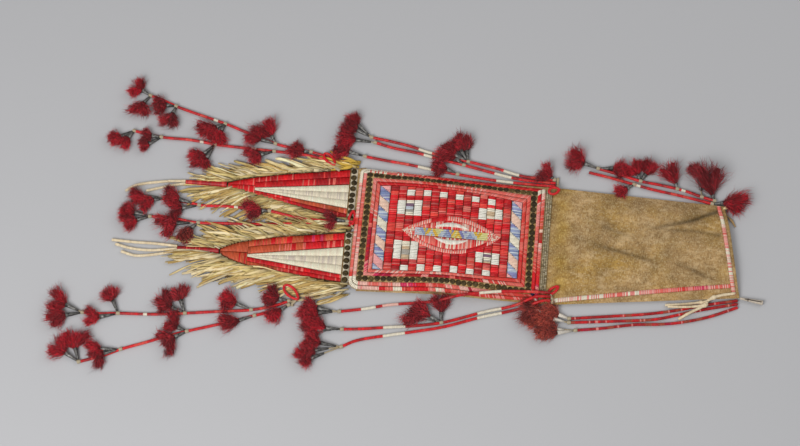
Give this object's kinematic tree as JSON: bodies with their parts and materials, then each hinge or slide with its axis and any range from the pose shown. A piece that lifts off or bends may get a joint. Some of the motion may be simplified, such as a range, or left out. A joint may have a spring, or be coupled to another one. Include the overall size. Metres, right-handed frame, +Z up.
{
  "type": "tobacco bag",
  "caption": "Long hide tobacco bag lying flat, open at the mouth, with a quilled and sequined panel, fringed tapering tabs, and quill-wrapped thongs ending in tin cones and dyed hair tufts.",
  "frame": {"origin": "on the back face that the bag lies on, under the middle of the quilled panel", "axes": "+X towards the mouth along the bag, +Y across the bag towards its folded edge, +Z up through the quilled front"},
  "size_m": [0.8394, 0.3652, 0.016],
  "materials": {
    "suede_hide": "mottled tan suede",
    "straw_hide": "pale twisted hide",
    "red_quill": "dyed folded quills, satin",
    "salmon_quill": "faded folded quills, satin",
    "cream_quill": "undyed folded quills, satin",
    "blue_quill": "pale dyed folded quills, satin",
    "sequin_metal": "tarnished, domed",
    "tin": "dull rolled tin",
    "tuft_hair": "dyed hair, fluffy"
  },
  "bodies": {
    "root": {"pouch_front": "suede_hide", "pouch_back": "suede_hide", "mouth_quill_lane": "salmon_quill", "seam_quill_lane": "salmon_quill", "panel_hide": "suede_hide", "border_lane_outer": "salmon_quill", "border_lane_inner": "red_quill", "panel_sequins": "sequin_metal", "frame_lane_outer": "salmon_quill", "frame_lane_inner": "red_quill", "triangle_band_foot": "blue_quill", "triangle_band_head": "blue_quill", "field_quills": "red_quill", "eye_lozenge": "cream_quill", "head_strip": "straw_hide", "upper_tab_hide": "suede_hide", "upper_tab_outer_lanes": "red_quill", "upper_tab_inner_lane": "red_quill", "upper_tab_wedge": "cream_quill", "upper_tab_sequins": "sequin_metal", "upper_tab_neck": "red_quill", "upper_tab_outer_fringe": "straw_hide", "upper_tab_inner_fringe": "straw_hide", "lower_tab_hide": "suede_hide", "lower_tab_outer_lanes": "red_quill", "lower_tab_inner_lane": "red_quill", "lower_tab_wedge": "cream_quill", "lower_tab_sequins": "sequin_metal", "lower_tab_neck": "red_quill", "lower_tab_outer_fringe": "straw_hide", "lower_tab_inner_fringe": "straw_hide", "upper_tab_pendant_1": "tuft_hair", "upper_tab_pendant_2": "tuft_hair", "panel_upper_pendant_1": "tuft_hair", "panel_upper_pendant_2": "tuft_hair", "panel_upper_pendant_3": "tuft_hair", "mouth_upper_pendant_1": "tuft_hair", "mouth_upper_pendant_2": "tuft_hair", "middle_pendant_1": "tuft_hair", "middle_pendant_2": "tuft_hair", "lower_tab_pendant_1": "tuft_hair", "lower_tab_pendant_2": "tuft_hair", "panel_lower_pendant_1": "tuft_hair", "panel_lower_pendant_2": "tuft_hair", "panel_lower_pendant_3": "tuft_hair", "mouth_lower_pendant_1": "tuft_hair", "mouth_lower_pendant_2": "tuft_hair", "mouth_lower_pendant_3": "tuft_hair", "upper_tip_thong_1": "straw_hide", "upper_tip_thong_2": "straw_hide", "lower_tip_thong_1": "straw_hide", "lower_tip_thong_2": "straw_hide", "lower_tip_thong_3": "straw_hide", "mouth_tie_long": "straw_hide", "mouth_tie_short": "straw_hide", "upper_head_loop": "red_quill", "lower_head_loop": "red_quill", "upper_foot_loop": "red_quill", "lower_foot_loop": "red_quill", "mouth_corner_cone": "tin"}
  },
  "joints": []
}
